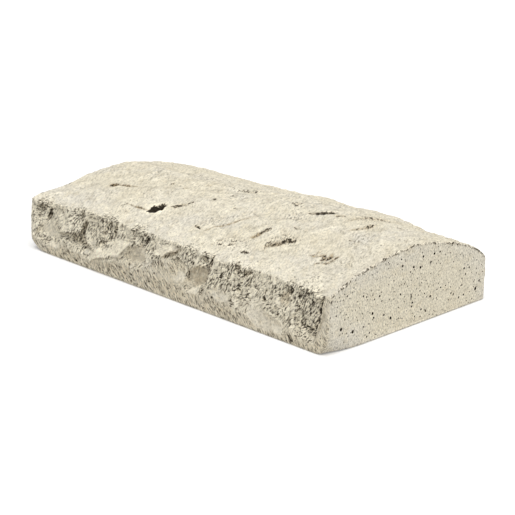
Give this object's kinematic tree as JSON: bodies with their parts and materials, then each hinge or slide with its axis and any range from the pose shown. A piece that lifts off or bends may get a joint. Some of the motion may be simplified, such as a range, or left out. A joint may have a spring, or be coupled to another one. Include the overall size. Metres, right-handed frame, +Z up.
{
  "type": "wall coping stone",
  "caption": "Saddle-back wall coping of cast stone with a hewn, peaked top, pitched rock-faced long edges, plain square ends and a flat bed, laid along the top of a wall to shed rain.",
  "frame": {"origin": "middle of the flat bed", "axes": "+X along the wall towards the near end of the picture, +Y across the wall to the rear, +Z up"},
  "size_m": [0.4572, 0.254, 0.0889],
  "materials": {
    "cast_stone": "matte buff cast stone, hewn on top and sides, with air holes on the plain ends"
  },
  "bodies": {
    "root": {"coping_stone": "cast_stone"}
  },
  "joints": []
}
